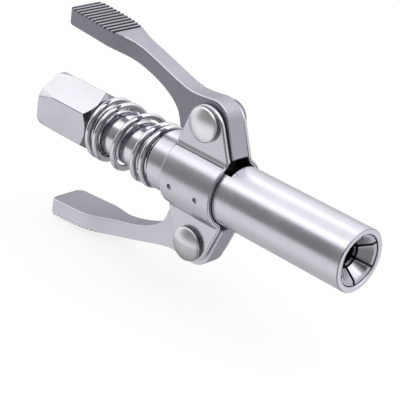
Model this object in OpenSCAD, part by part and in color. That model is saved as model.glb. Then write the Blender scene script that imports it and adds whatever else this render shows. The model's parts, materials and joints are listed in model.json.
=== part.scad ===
// Locking grease coupler with two squeeze levers.
// X runs from the inlet face to the nose, Z runs across the two levers,
// and the origin is the middle of the inlet face.

/* [Inlet body] */
// Width of the hexagon across its flats
hex_flats = 17; // [15:0.5:19]
// Length of the hexagon
hex_length = 21; // [16:0.5:30]
// Length of the shallow taper at the rear of the hexagon corners
hex_rear_taper = 7; // [4:0.5:9]
// Length of the chamfer at the front of the hexagon
hex_front_chamfer = 1.6; // [0.8:0.1:2.4]
// How far the rear taper cuts in from the corners
hex_rear_cut = 0.75; // [0.5:0.05:1]
// How far the front chamfer cuts in from the corners
hex_front_cut = 1.5; // [1.2:0.05:1.6]
// Bore of the inlet thread
inlet_bore_d = 8.6; // [7:0.1:9.6]
// Depth of the inlet thread
inlet_depth = 11; // [8:0.5:14]
// Grease passage through the body
passage_d = 3; // [2:0.1:3.4]
// How far the stem reaches into the sleeve
stem_overlap = 9.8; // [7:0.1:10]

/* [Return spring] */
// Length of the fitted spring
spring_length = 26.2; // [24:0.2:34]
// Wire of the spring
spring_wire = 1.9; // [1.4:0.1:2.2]
// Room between the stem and the spring
spring_room = 0.65; // [0.4:0.05:0.8]
// Turns of the spring, the closed ends included
spring_turns = 5; // [4:0.25:6]
// Closed turns at each end
closed_turns = 1.2; // [1:0.05:1.4]
// Pitch of the closed turns, in thicknesses of the wire
closed_pitch = 1.06; // [1.03:0.01:1.1]
// How gently the open turns leave the closed ones
coil_ease = 0.3; // [0:0.05:0.5]
// Angle at which the wire starts
coil_start = 349; // [0:1:359]

/* [Sleeve] */
// Outside diameter of the sleeve
sleeve_d = 18; // [17.4:0.1:20]
// Wall of the sleeve behind the nose
sleeve_wall = 1.7; // [1.5:0.05:1.8]
// Length of the sleeve
sleeve_length = 69.6; // [64:0.2:80]
// Rounding of the sleeve ends
sleeve_round = 0.35; // [0.2:0.05:0.5]
// Running clearance of the sleeve on the stem, on the radius
slide_fit = 0.1; // [0.05:0.01:0.1]
// Width of the windows for the lever toes
window_w = 10.5; // [9:0.1:11]
// How far the windows show in front of the bracket
window_front = 2.2; // [1:0.1:3]
// Length of the windows
window_length = 14.7; // [14.2:0.1:15.2]
// Thickness of the nose rim
rim_wall = 1.55; // [1.45:0.05:1.7]
// Length of the closing cone inside the nose
cone_length = 4.6; // [4:0.1:5.5]
// Drop of the closing cone, on the radius
cone_drop = 1.35; // [1.25:0.05:1.45]
// Length of the straight throat behind the cone
throat_length = 5.2; // [4:0.1:6]

/* [Bracket] */
// Thickness of the pressed sheet
sheet = 1.5; // [1.2:0.1:1.8]
// Length of the clasp along the sleeve
bracket_length = 19; // [18:0.1:20]
// Distance from the rear of the sleeve to the clasp
bracket_setback = 6.5; // [5:0.1:8]
// Outside radius of the bend between clasp and ear
bend_r = 2; // [1.6:0.1:2.6]
// Radius of the ears around the rivets
ear_r = 6.6; // [6.3:0.1:6.8]
// How far the middle of the round ear sits inside the pivot
ear_drop = 1.3; // [1:0.1:1.5]
// Height of the shoulders where the ears leave the clasp
ear_shoulder = 10.2; // [9.6:0.1:11]
// Room between a lever and an ear
ear_room = 0.4; // [0.3:0.05:0.8]
// Gap of the welded clasp on the sleeve
weld_gap = 0.04; // [0.03:0.01:0.06]
// Diameter of the weld dimples
dimple_d = 1.7; // [1:0.1:2]
// Depth of the weld dimples
dimple_depth = 0.6; // [0.3:0.05:0.8]
// Distance of the weld dimples from the ends of the clasp
dimple_inset = [4.2, 4.9];
// How far the weld dimples sit below the axis
dimple_drop = 1.4; // [0:0.1:2]

/* [Levers] */
// Height of the pivots above the axis
pivot_height = 18; // [17.4:0.1:19]
// How far the pivots sit behind the middle of the clasp
pivot_back = 0.2; // [0:0.1:0.4]
// Reach of a lever from its pivot to its tip
lever_reach = 56.4; // [52:0.1:60]
// Height of the tip above the pivot
tip_rise = 14.8; // [13.6:0.1:16]
// Thickness of the thumb pad at its tip
pad_thick = 4.9; // [4.4:0.1:5.6]
// Width of the thumb pad
pad_width = 12.2; // [10:0.1:14]
// Length of the thumb pad
pad_length = 20.2; // [18:0.1:21]
// Length of the full width of the thumb pad
pad_straight = 13; // [10:0.1:15]
// Rounding of the corners of the thumb pad, seen from above
pad_corner = 2.6; // [1.5:0.1:4]
// Fall of the thumb pad over its length
pad_fall = 1.7; // [1:0.1:2.4]
// Crown of the thumb pad in the middle of its length
pad_crown = 0.2; // [0:0.05:0.6]
// Width of the lever blade
blade_width = 6; // [5.4:0.1:6.4]
// Length over which the pad narrows to the blade
pad_taper = 16.4; // [12:0.1:18]
// Spacing of the grooves across the thumb pad
groove_pitch = 1.57; // [1.3:0.01:2]
// Width of the grooves
groove_width = 0.9; // [0.6:0.05:1.2]
// Depth of the grooves
groove_depth = 0.65; // [0.3:0.05:0.8]
// Rounding of the lever tip
tip_round = 0.8; // [0.6:0.1:1]
// Radius of the lever head around the pivot
head_r = 6.3; // [6:0.1:6.6]
// How far the waist of the blade sits behind the pivot
waist_back = 8.5; // [8.2:0.1:8.8]
// How far the front of a lever reaches past the pivot
toe_reach = 10.1; // [9.6:0.1:10.3]
// Radius of the rounded toe that pushes the collar
cam_r = 1.6; // [1.3:0.1:1.8]
// How far the toe stands in front of the pivot
cam_forward = 4; // [3.6:0.1:4.4]
// Free play between the toe and the collar
cam_play = 0.3; // [0.25:0.05:0.5]
// How far inside the rim of the collar the toe pushes
cam_inset = 1; // [0.9:0.05:1.1]
// Gap between the heel of a lever and the sleeve
heel_gap = 0.7; // [0.6:0.05:0.8]
// Gap between the front of a lever and the sleeve
toe_gap = 1.6; // [1.2:0.1:2]

/* [Rivets] */
// Shank of the rivets
rivet_d = 6; // [5:0.1:6.4]
// Head of the rivets
rivet_head_d = 10; // [9:0.1:10.4]
// Straight edge of a rivet head
rivet_edge = 1.2; // [0.8:0.05:1.4]
// Height of the dome above the edge
rivet_dome = 1.2; // [0.9:0.1:1.6]
// Clearance of a lever on its rivet, on the radius
pivot_fit = 0.05; // [0.03:0.01:0.08]

/* [Grease tube] */
// Thickness of the thrust collar
collar_t = 3.1; // [2.6:0.1:3.6]
// Gap of the pressed collar on the tube, on the radius
collar_fit = 0.02; // [0.01:0.01:0.04]
// Wall of the tube around the seal spring
tube_wall = 1.4; // [1.2:0.05:1.6]
// Depth of the groove that holds the jaws
hook_depth = 0.65; // [0.5:0.05:0.75]
// Depth of the screwed socket in the stem
socket_depth = 9; // [7:0.1:9]
// Clearance of the screwed joint, on the radius
screw_fit = 0.05; // [0.02:0.01:0.08]
// Thickness of the seal washer
washer_t = 1; // [0.8:0.1:1.4]
// How far the seal washer reaches into the valve chamber
washer_lip = 1.2; // [1:0.1:1.4]

/* [Jaws] */
// Length of the jaws
jaw_length = 27.9; // [25:0.1:32]
// Thickness of the jaw shanks
jaw_shank = 1.4; // [1.2:0.05:1.5]
// Room between the shanks and the throat of the nose
jaw_relief = 0.6; // [0.5:0.05:0.7]
// Room between the closed jaws and the cone
jaw_gap = 0.15; // [0.1:0.01:0.2]
// How far the jaws sit behind the rim
jaw_recess = 0.4; // [0.2:0.05:0.8]
// Width of the slits between the jaws
slit = 0.7; // [0.4:0.05:0.8]
// Depth of the bevel around the mouth of the funnel
face_bevel = 0.4; // [0.2:0.05:0.6]
// Mouth of the funnel in the jaws
funnel_d = 12.2; // [11.6:0.1:12.8]
// Small end of the funnel
funnel_throat_d = 7.2; // [6.9:0.1:7.6]
// Depth of the funnel
funnel_depth = 3.4; // [3:0.1:4]
// Bore between the gripping lips
grip_d = 6.2; // [5.4:0.1:6.4]
// Length of the gripping lips
grip_length = 1.6; // [1.2:0.1:2]
// Length of the slopes before and behind the lips
grip_slope = 1; // [0.8:0.1:1.2]
// Bore of the pocket behind the lips
pocket_d = 6.9; // [6.7:0.1:7.2]
// Length of the hooks at the rear of the jaws
hook_length = 3; // [2.4:0.1:3.6]
// Room around the hooks in their groove
hook_room = 0.3; // [0.2:0.05:0.4]
// Gap between the hooks and the bottom of their groove
hook_gap = 0.15; // [0.12:0.01:0.18]
// How far the pocket behind the lips ends in front of the grease tube
pocket_end = 0.5; // [0.4:0.05:0.6]
// Wire of the ring around the jaws
ring_wire = 1; // [0.8:0.1:1.2]
// Distance of the ring from the hooks
ring_setback = 1.5; // [1.4:0.05:1.8]
// Room between the ring and the jaws
ring_room = 0.15; // [0.12:0.01:0.2]
// Depth of the ring's seat in the jaws
ring_seat = 0.25; // [0.15:0.05:0.3]

/* [Seal and check valve] */
// Length of the rubber seal
seal_length = 3; // [2.4:0.1:3.4]
// Grease hole through the seal
seal_hole_d = 1.9; // [1.4:0.1:2.2]
// Distance of the seal from the slope behind the lips
seal_setback = 0.7; // [0.6:0.05:0.8]
// Chamfer of the seal's outer edge
seal_chamfer = 0.3; // [0.2:0.05:0.4]
// Depth of the dish in the seal's face
seal_dish = 0.9; // [0.7:0.05:1]
// Room around the seal in its pocket
seal_room = 0.15; // [0.1:0.01:0.2]
// Thickness of the seal cup's flange
cup_flange = 1.2; // [1:0.1:1.4]
// Length of the seal cup's shank
cup_shank = 4.8; // [4:0.1:5.4]
// How far the seal can float back
seal_float = 1.1; // [0.8:0.1:1.4]
// Length of the seal spring
seal_spring_length = 6; // [5:0.1:8]
// Wire of the seal spring and the check spring
valve_wire = 0.5; // [0.4:0.05:0.6]
// Turns of the seal spring and the check spring
valve_turns = 4; // [3:0.5:5]
// Ball of the check valve
ball_d = 5; // [4.4:0.1:5.4]
// Bore of the check valve's chamber
chamber_d = 6.4; // [6:0.1:6.8]
// Length of the check valve's chamber
chamber_length = 9; // [8:0.1:11]
// Distance of the check spring's coil from the wall of the chamber
check_inset = 1; // [0.9:0.05:1.1]
// Clearance of the valve parts
valve_fit = 0.1; // [0.05:0.01:0.12]

/* [Hidden] */

$fn = 64;
jaw_count = 6;
// Overlap of a cut past the face that it opens
past = 1;
// Gap of two pieces that rest on each other
contact = 0.02;

// Radii, from the sleeve inwards
sleeve_r = sleeve_d / 2;
bore_r = sleeve_r - sleeve_wall;
stem_r = bore_r - slide_fit;
mouth_r = sleeve_r - rim_wall;
throat_r = mouth_r - cone_drop;
shank_r = throat_r - jaw_relief;
jaw_bore_r = shank_r - jaw_shank;
tube_r = jaw_bore_r - slide_fit;
hook_groove_r = tube_r - hook_depth;
spring_bore_r = tube_r - tube_wall;
coil_r = stem_r + spring_room + spring_wire / 2;
corner_r = hex_flats / sqrt(3);

// Places along the axis
sleeve_rear = hex_length + spring_length;
nose = sleeve_rear + sleeve_length;
stem_front = sleeve_rear + stem_overlap;
bracket_rear = sleeve_rear + bracket_setback;
bracket_front = bracket_rear + bracket_length;
pivot_x = bracket_rear + bracket_length / 2 - pivot_back;
window_end = bracket_front + window_front;
collar_rear = pivot_x + cam_forward + cam_r + cam_play;
jaw_front = nose - jaw_recess;
jaw_rear = jaw_front - jaw_length;
socket_rear = stem_front - socket_depth;
chamber_rear = socket_rear - washer_t - chamber_length;
lip_front = jaw_front - funnel_depth - grip_slope;
lip_rear = lip_front - grip_length;
seal_front = lip_rear - grip_slope - seal_setback;
cup_front = seal_front - seal_length;
cup_rear = cup_front - cup_flange;
tube_front = cup_rear - seal_float;
cup_tail = cup_rear - cup_shank;
spring_seat = cup_tail - seal_spring_length;
ring_x = jaw_rear + hook_length + ring_setback;

// Height of the point where the toe presses on the collar
cam_height = stem_r - cam_inset;
ear_inner = blade_width / 2 + ear_room;
ear_outer = ear_inner + sheet;
clasp_r = sleeve_r + sheet;

function unit(v) = v / norm(v);

// Points of a round corner at p, between the directions to a and b
function fillet(a, p, b, r, n = 4) =
    let (u = unit(a - p), v = unit(b - p), half = acos(u * v) / 2)
    let (middle = p + unit(u + v) * r / sin(half), s = p + u * r / tan(half), e = p + v * r / tan(half))
    [for (i = [0:n]) middle + r * unit((s - middle) * (n - i) / n + (e - middle) * i / n)];

// Points of a cubic curve after its first one
function curve(a, b, c, d, n = 12) =
    [for (i = [1:n])
        let (t = i / n, s = 1 - t)
        s * s * s * a + 3 * s * s * t * b + 3 * s * t * t * c + t * t * t * d];

function arc(middle, r, from, to, n = 8) =
    [for (i = [0:n]) let (a = from + (to - from) * i / n) middle + r * [cos(a), sin(a)]];

// Where the line from p touches a circle; side is 1 or -1
function touch(p, middle, r, side) =
    let (d = middle - p, a = side * acos(r / norm(d)))
    middle - r * [unit(d)[0] * cos(a) - unit(d)[1] * sin(a), unit(d)[0] * sin(a) + unit(d)[1] * cos(a)];

// A body turned about the X axis, from points of radius and place
module turned(points) {
    rotate([0, 90, 0])
        rotate_extrude()
            polygon(points);
}

// A rod or a cut along X
module rod(r, from, to) {
    translate([from, 0, 0])
        rotate([0, 90, 0])
            cylinder(r = r, h = to - from);
}

// A rod or a cut along Y through a pivot
module pin(r, from, to) {
    translate([pivot_x, from, pivot_height])
        rotate([-90, 0, 0])
            cylinder(r = r, h = to - from);
}

// A profile in the XZ plane, given its thickness along Y
module upright(from, to) {
    translate([0, to, 0])
        rotate([90, 0, 0])
            linear_extrude(to - from)
                children();
}

// A left-hand coil along X; place is the wire's place along the axis at each turn
function coil_section(turn, r, place, rise, wire, sides, start) =
    let (a = start - 360 * turn, out = [0, cos(a), sin(a)])
    let (along = unit([rise, 2 * PI * r * sin(a), -2 * PI * r * cos(a)]), across = cross(along, out))
    [for (k = [0:sides - 1])
        [place, 0, 0] + r * out + wire / 2 * (cos(360 * k / sides) * out + sin(360 * k / sides) * across)];

// A tube through rings of points, closed at both ends
module swept(rings) {
    sides = len(rings[0]);
    last = len(rings) - 1;
    polyhedron(
        points = [for (ring = rings) each ring],
        faces = concat(
            [[for (k = [0:sides - 1]) k]],
            [[for (k = [sides - 1:-1:0]) last * sides + k]],
            [for (i = [0:last - 1], k = [0:sides - 1])
                let (n = (k + 1) % sides)
                [i * sides + k, (i + 1) * sides + k, (i + 1) * sides + n, i * sides + n]]
        )
    );
}

// Hexagon with its corners turned off at both ends, and the stem
module inlet_body() {
    color("gainsboro")
        difference() {
            union() {
                intersection() {
                    rotate([0, 90, 0])
                        cylinder(r = corner_r, h = hex_length, $fn = 6);
                    turned([
                        [0, 0], [corner_r - hex_rear_cut, 0], [corner_r, hex_rear_taper],
                        [corner_r, hex_length - hex_front_chamfer],
                        [corner_r - hex_front_cut, hex_length], [0, hex_length]
                    ]);
                }
                rod(stem_r, hex_length, stem_front);
            }
            rod(inlet_bore_d / 2, -past, inlet_depth);
            rod(passage_d / 2, 0, stem_front);
            rod(chamber_d / 2, chamber_rear, stem_front);
            rod(tube_r + screw_fit, socket_rear - washer_t, stem_front + past);
        }
}

module seal_washer() {
    color("peru")
        difference() {
            rod(tube_r, socket_rear - washer_t, socket_rear);
            rod(chamber_d / 2 - washer_lip, socket_rear - washer_t - past, socket_rear + past);
        }
}

// Grease tube with the jaw groove and the bore for the seal
module inner_stem() {
    color("dimgray")
        difference() {
            rod(tube_r, socket_rear, tube_front);
            rod(passage_d / 2, socket_rear - past, spring_seat + past);
            rod(spring_bore_r, spring_seat, tube_front + past);
            difference() {
                rod(tube_r + past, jaw_rear - hook_room, jaw_rear + hook_length + hook_room);
                rod(hook_groove_r, jaw_rear - past, jaw_rear + hook_length + past);
            }
        }
}

// Ring pressed on the grease tube, which the lever toes push against
module thrust_collar() {
    color("slategray")
        difference() {
            rod(stem_r, collar_rear, collar_rear + collar_t);
            rod(tube_r + collar_fit, collar_rear - past, collar_rear + collar_t + past);
        }
}

// Coil with closed ends, resting on the hexagon and the sleeve
module return_spring() {
    sides = 10;
    steps = 24;
    pitch = spring_wire * closed_pitch;
    open_turns = spring_turns - 2 * closed_turns;
    stretch = spring_length - spring_wire - 2 * contact - pitch * spring_turns;
    first = hex_length + spring_wire / 2 + contact;
    function eased(u) = u - coil_ease * sin(360 * u) / (2 * PI);
    function place(t) =
        first + pitch * t + stretch * eased(max(0, min(1, (t - closed_turns) / open_turns)));
    last = ceil(spring_turns * steps);
    nudge = 1 / 80;
    color("whitesmoke")
        swept([
            for (i = [0:last])
                let (t = i * spring_turns / last)
                coil_section(t, coil_r, place(t), (place(t + nudge) - place(t - nudge)) / (2 * nudge),
                             spring_wire, sides, coil_start)
        ]);
}

// Nose tube with its inner cone, and a window for each lever toe
module outer_sleeve() {
    c = sleeve_round;
    throat_front = nose - cone_length;
    throat_rear = throat_front - throat_length;
    color("silver")
        difference() {
            turned(concat(
                [[bore_r, sleeve_rear]],
                arc([sleeve_r - c, sleeve_rear + c], c, -90, 0, 4),
                arc([sleeve_r - c, nose - c], c, 0, 90, 4),
                [[mouth_r, nose], [throat_r, throat_front], [throat_r, throat_rear],
                 [bore_r, throat_rear - (bore_r - throat_r)]]
            ));
            for (side = [0, 180])
                rotate([side, 0, 0])
                    translate([window_end - window_length, -window_w / 2, tube_r])
                        cube([window_length, window_w, sleeve_r]);
        }
}

// Section of one pressed half on the -Y side: clasp, a bend and an ear at each end
module bracket_section() {
    bend = [-ear_outer - bend_r, sqrt(pow(clasp_r + bend_r, 2) - pow(ear_outer + bend_r, 2))];
    turn = atan2(bend[1], -bend[0]);
    top = pivot_height + ear_r + past;
    outer = concat([[-ear_outer, top]], arc(bend, bend_r, 0, -turn),
                   arc([0, 0], clasp_r, 180 - turn, 180, 20));
    inner = concat([[-ear_inner, top]], arc(bend, bend_r + sheet, 0, -turn),
                   arc([0, 0], sleeve_r + weld_gap, 180 - turn, 180, 20));
    function lower(points) = [for (i = [len(points) - 2:-1:0]) [points[i][0], -points[i][1]]];
    function back(points) = [for (i = [len(points) - 1:-1:0]) points[i]];
    polygon(concat(outer, lower(outer), back(concat(inner, lower(inner)))));
}

// Side outline of the bracket: the clasp, and an ear tapering to a lobe at each pivot
module bracket_outline() {
    lobe = [pivot_x, pivot_height - ear_drop];
    rear = touch([bracket_rear, ear_shoulder], lobe, ear_r, -1) - lobe;
    front = touch([bracket_front, ear_shoulder], lobe, ear_r, 1) - lobe;
    upper = concat(
        [[bracket_rear, ear_shoulder]],
        arc(lobe, ear_r, atan2(rear[1], rear[0]), atan2(front[1], front[0]), 32),
        [[bracket_front, ear_shoulder]]
    );
    polygon(concat(upper, [for (i = [len(upper) - 1:-1:0]) [upper[i][0], -upper[i][1]]]));
}

module bracket_half() {
    difference() {
        intersection() {
            translate([bracket_rear, 0, 0])
                rotate([90, 0, 90])
                    linear_extrude(bracket_length)
                        bracket_section();
            upright(-clasp_r - past, past)
                bracket_outline();
        }
        for (side = [0, 1])
            mirror([0, 0, side])
                pin(rivet_d / 2 + contact, -clasp_r, 0);
        for (x = [bracket_rear + dimple_inset[0], bracket_front - dimple_inset[1]])
            translate([x, -clasp_r - past, -dimple_drop])
                rotate([-90, 0, 0])
                    cylinder(d = dimple_d, h = past + dimple_depth, $fn = 24);
    }
}

module bracket_near() {
    color("silver")
        bracket_half();
}

module bracket_far() {
    color("silver")
        mirror([0, 1, 0])
            bracket_half();
}

// Side outline of the upper lever: serrated pad, curved blade, round head and toe
module lever_outline() {
    pivot = [pivot_x, pivot_height];
    tip = pivot + [-lever_reach, tip_rise];
    pad_end = tip + [pad_length, -pad_fall];
    under = tip - [0, pad_thick];
    along = unit(pad_end - tip);
    inward = [along[1], -along[0]];
    pad_span = norm(pad_end - tip);
    function pad_top(s) = tip + along * s - inward * 4 * pad_crown * s * (pad_span - s) / pow(pad_span, 2);
    pad_exit = unit(along * pad_span + inward * 2 * pad_crown);
    waist = pivot + [-waist_back, head_r - 0.15];
    crest = pivot + [0.4, 0.5];
    blade_start = under + [13.4, -1];
    blade_end = pivot + [-10.8, -5.3];
    heel = [pivot_x - 2, sleeve_r + heel_gap];
    toe = [pivot_x + toe_reach, sleeve_r + toe_gap];
    cam = [pivot_x + cam_forward, cam_height];
    brow = [cam[0] + cam_r + 0.9, sleeve_r + 0.8];
    outer_span = waist[0] - pad_end[0];
    groove_first = tip_round + groove_width / 2 + 0.15;
    groove_room = pad_span - groove_first - groove_width / 2 - 0.1;
    polygon(concat(
        fillet(under, tip, pad_end, tip_round),
        [for (i = [0:floor(groove_room / groove_pitch)], step = [-1, 0, 1])
            pad_top(groove_first + i * groove_pitch + step * groove_width / 2)
                + inward * groove_depth * (1 - abs(step))],
        [pad_end],
        curve(pad_end, pad_end + outer_span * 0.368 * pad_exit,
              waist + [-outer_span * 0.235, 0.85], waist, 20),
        curve(waist, waist + [3, -0.15], crest + head_r * [cos(98), sin(98)] + [-2.6, -0.3],
              crest + head_r * [cos(98), sin(98)], 5),
        arc(crest, head_r, 92, 17, 14),
        fillet(crest + head_r * [cos(15), sin(15)], toe, brow, 0.5),
        fillet(toe, brow, cam + [cam_r, 0], 0.6),
        arc(cam, cam_r, 0, -170),
        fillet(cam - [cam_r, 0], heel, blade_end, 1),
        fillet(heel, blade_end, blade_end + [-2, 8], 1),
        curve(blade_end + [-0.5, 1.6], blade_end + [-2.2, 9.3], blade_start + [15, -1.9], blade_start, 20),
        fillet(blade_start, under, tip, tip_round)
    ));
}

// Plan of a lever: the wide pad narrowing to the blade
module lever_plan() {
    tip = pivot_x - lever_reach;
    wide = tip + pad_straight;
    slim = wide + pad_taper;
    pad_half = pad_width / 2;
    half = blade_width / 2;
    edge = concat(
        fillet([tip, 0], [tip, pad_half], [wide, pad_half], pad_corner, 6),
        [[wide, pad_half]],
        curve([wide, pad_half], [wide + pad_taper * 0.45, pad_half],
              [slim - pad_taper * 0.45, half], [slim, half], 14),
        [[pivot_x + lever_reach, half]]
    );
    polygon(concat(edge, [for (i = [len(edge) - 1:-1:0]) [edge[i][0], -edge[i][1]]]));
}

module lever() {
    difference() {
        intersection() {
            upright(-pad_width, pad_width)
                lever_outline();
            linear_extrude(2 * pivot_height + tip_rise)
                lever_plan();
        }
        pin(rivet_d / 2 + pivot_fit, -pad_width, pad_width);
    }
}

module lever_upper() {
    color("darkgray")
        lever();
}

module lever_lower() {
    color("darkgray")
        mirror([0, 0, 1])
            lever();
}

// Rivet with a low dome on each side
module rivet() {
    head_r = rivet_head_d / 2;
    dome_r = (head_r * head_r + rivet_dome * rivet_dome) / (2 * rivet_dome);
    pin(rivet_d / 2, -ear_outer, ear_outer);
    for (side = [0, 1])
        mirror([0, side, 0]) {
            pin(head_r, ear_outer, ear_outer + rivet_edge);
            intersection() {
                pin(head_r, ear_outer + rivet_edge, ear_outer + rivet_edge + rivet_dome);
                translate([pivot_x, ear_outer + rivet_edge + rivet_dome - dome_r, pivot_height])
                    sphere(dome_r);
            }
        }
}

module rivet_upper() {
    color("gainsboro")
        rivet();
}

module rivet_lower() {
    color("gainsboro")
        mirror([0, 0, 1])
            rivet();
}

// One of the jaws: a hook, a thin shank and a head with its share of the funnel
module jaw(index) {
    slope = cone_drop / cone_length;
    cone_start = nose - cone_length;
    head_start = cone_start - (throat_r - jaw_gap - shank_r) / slope;
    front_r = mouth_r - jaw_gap - jaw_recess * slope;
    pocket_rear = tube_front + pocket_end;
    hook_r = hook_groove_r + hook_gap;
    seat_half = ring_wire / 2 + ring_room;
    half = 180 / jaw_count;
    reach = 2 * sleeve_r;
    color("lightgray")
        intersection() {
            turned([
                [hook_r, jaw_rear], [shank_r, jaw_rear],
                [shank_r, ring_x - seat_half], [shank_r - ring_seat, ring_x - seat_half],
                [shank_r - ring_seat, ring_x + seat_half], [shank_r, ring_x + seat_half],
                [shank_r, head_start], [front_r, jaw_front], [funnel_d / 2, jaw_front - face_bevel],
                [funnel_throat_d / 2, jaw_front - funnel_depth],
                [funnel_throat_d / 2, lip_front + grip_slope * 0.4],
                [grip_d / 2, lip_front], [grip_d / 2, lip_rear],
                [pocket_d / 2, lip_rear - grip_slope], [pocket_d / 2, pocket_rear],
                [jaw_bore_r, pocket_rear], [jaw_bore_r, jaw_rear + hook_length],
                [hook_r, jaw_rear + hook_length]
            ]);
            rotate([360 * (index - 1) / jaw_count, 0, 0])
                translate([jaw_rear - past, 0, 0])
                    rotate([90, 0, 90])
                        linear_extrude(jaw_length + 2 * past)
                            polygon([
                                [slit / 2 / sin(half), 0],
                                [reach * cos(half) + slit / 2 / sin(half), reach * sin(half)],
                                [reach * cos(half) + slit / 2 / sin(half), -reach * sin(half)]
                            ]);
        }
}

// Wire ring round the tails of the jaws
module jaw_ring() {
    middle = shank_r - ring_seat + ring_room + ring_wire / 2;
    color("slategray")
        translate([ring_x, 0, 0])
            rotate([0, 90, 0])
                rotate_extrude()
                    translate([middle, 0])
                        circle(d = ring_wire, $fn = 24);
}

// Rubber face seal, dished at the front
module face_seal() {
    r = pocket_d / 2 - seal_room;
    color("black")
        turned([
            [seal_hole_d / 2, cup_front], [r, cup_front], [r, seal_front - seal_chamfer],
            [r - seal_chamfer, seal_front], [r - 3 * seal_chamfer, seal_front],
            [seal_hole_d / 2, seal_front - seal_dish]
        ]);
}

// Metal backing of the seal, with a shank that slides in the tube
module seal_cup() {
    color("goldenrod")
        turned([
            [seal_hole_d / 2, cup_tail], [spring_bore_r - valve_fit, cup_tail],
            [spring_bore_r - valve_fit, cup_rear], [pocket_d / 2 - seal_room, cup_rear],
            [pocket_d / 2 - seal_room, cup_front], [seal_hole_d / 2, cup_front]
        ]);
}

// Small coil from one place to another
module valve_coil(r, from, to) {
    sides = 8;
    steps = 12;
    last = ceil(valve_turns * steps);
    pitch = (to - from - valve_wire) / valve_turns;
    swept([
        for (i = [0:last])
            let (t = i * valve_turns / last)
            coil_section(t, r, from + valve_wire / 2 + pitch * t, pitch, valve_wire, sides, 0)
    ]);
}

module seal_spring() {
    color("lightgray")
        valve_coil(spring_bore_r - valve_wire / 2 - valve_fit, spring_seat + contact, cup_tail - contact);
}

// Distance of the ball's centre from the edge of its seat
function ball_seat() = sqrt(pow(ball_d / 2, 2) - pow(passage_d / 2, 2)) + valve_fit;

module check_ball() {
    color("silver")
        translate([chamber_rear + ball_seat(), 0, 0])
            sphere(d = ball_d);
}

module check_spring() {
    r = chamber_d / 2 - check_inset;
    reach = sqrt(pow(ball_d / 2 + valve_wire / 2, 2) - r * r) + valve_fit;
    color("lightgray")
        valve_coil(r, chamber_rear + ball_seat() + reach - valve_wire / 2, socket_rear - washer_t - contact);
}

inlet_body();
seal_washer();
inner_stem();
thrust_collar();
return_spring();
outer_sleeve();
bracket_near();
bracket_far();
lever_upper();
lever_lower();
rivet_upper();
rivet_lower();
jaw(1);  // jaw_1
jaw(2);  // jaw_2
jaw(3);  // jaw_3
jaw(4);  // jaw_4
jaw(5);  // jaw_5
jaw(6);  // jaw_6
jaw_ring();
face_seal();
seal_cup();
seal_spring();
check_ball();
check_spring();
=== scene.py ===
import json
import math

import bmesh
import bpy
from mathutils import Matrix, Vector


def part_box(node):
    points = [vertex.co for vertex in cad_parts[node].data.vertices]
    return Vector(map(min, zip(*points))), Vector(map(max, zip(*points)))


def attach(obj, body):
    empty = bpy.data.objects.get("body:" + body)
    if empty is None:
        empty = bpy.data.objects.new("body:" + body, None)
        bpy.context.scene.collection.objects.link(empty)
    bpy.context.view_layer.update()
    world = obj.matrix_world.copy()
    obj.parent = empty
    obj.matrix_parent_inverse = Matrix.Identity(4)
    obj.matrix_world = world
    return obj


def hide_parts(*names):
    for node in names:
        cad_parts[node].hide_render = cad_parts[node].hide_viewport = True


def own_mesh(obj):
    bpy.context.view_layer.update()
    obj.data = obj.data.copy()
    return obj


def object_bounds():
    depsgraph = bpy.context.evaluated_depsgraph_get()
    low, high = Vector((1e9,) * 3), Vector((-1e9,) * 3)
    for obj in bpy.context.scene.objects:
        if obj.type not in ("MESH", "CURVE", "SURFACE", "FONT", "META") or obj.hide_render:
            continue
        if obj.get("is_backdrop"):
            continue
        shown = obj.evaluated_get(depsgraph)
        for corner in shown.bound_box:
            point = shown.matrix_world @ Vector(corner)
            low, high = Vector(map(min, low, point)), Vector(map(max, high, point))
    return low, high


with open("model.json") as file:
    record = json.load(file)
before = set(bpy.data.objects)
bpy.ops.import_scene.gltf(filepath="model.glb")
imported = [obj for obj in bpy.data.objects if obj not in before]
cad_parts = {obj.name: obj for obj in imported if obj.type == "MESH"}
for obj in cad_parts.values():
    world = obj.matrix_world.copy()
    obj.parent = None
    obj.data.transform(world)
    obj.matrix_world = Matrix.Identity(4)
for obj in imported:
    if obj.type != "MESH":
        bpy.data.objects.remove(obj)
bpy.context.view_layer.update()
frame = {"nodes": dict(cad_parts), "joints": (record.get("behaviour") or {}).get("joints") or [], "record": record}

bl_info = {
    "name": "Locking Grease Coupler",
    "version": (1, 0, 0),
    "blender": (4, 5, 0),
    "location": "View3D > Sidebar > Coupler",
    "description": "Dresses the packed coupler with finished pieces, materials and a studio",
    "category": "Object",
}

MM = 0.001
SHEET = 1.5 * MM  # thickness of the bracket's sheet
HOLE_RIM = 3.5 * MM  # the rims of the rivet holes lie within this radius
WHITE = (1.0, 1.0, 1.0, 1.0)


def metres(name, description, default):
    """A length property, given in millimetres."""
    return bpy.props.FloatProperty(
        name=name, description=description, default=default * MM, min=0.0, unit="LENGTH", precision=5
    )


def colour(name, description, default):
    """A colour property."""
    return bpy.props.FloatVectorProperty(
        name=name, description=description, default=default, size=3, min=0.0, max=1.0, subtype="COLOR"
    )


def share(name, description, default):
    """A property from nothing to full."""
    return bpy.props.FloatProperty(
        name=name, description=description, default=default, min=0.0, max=1.0, subtype="FACTOR"
    )


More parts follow.
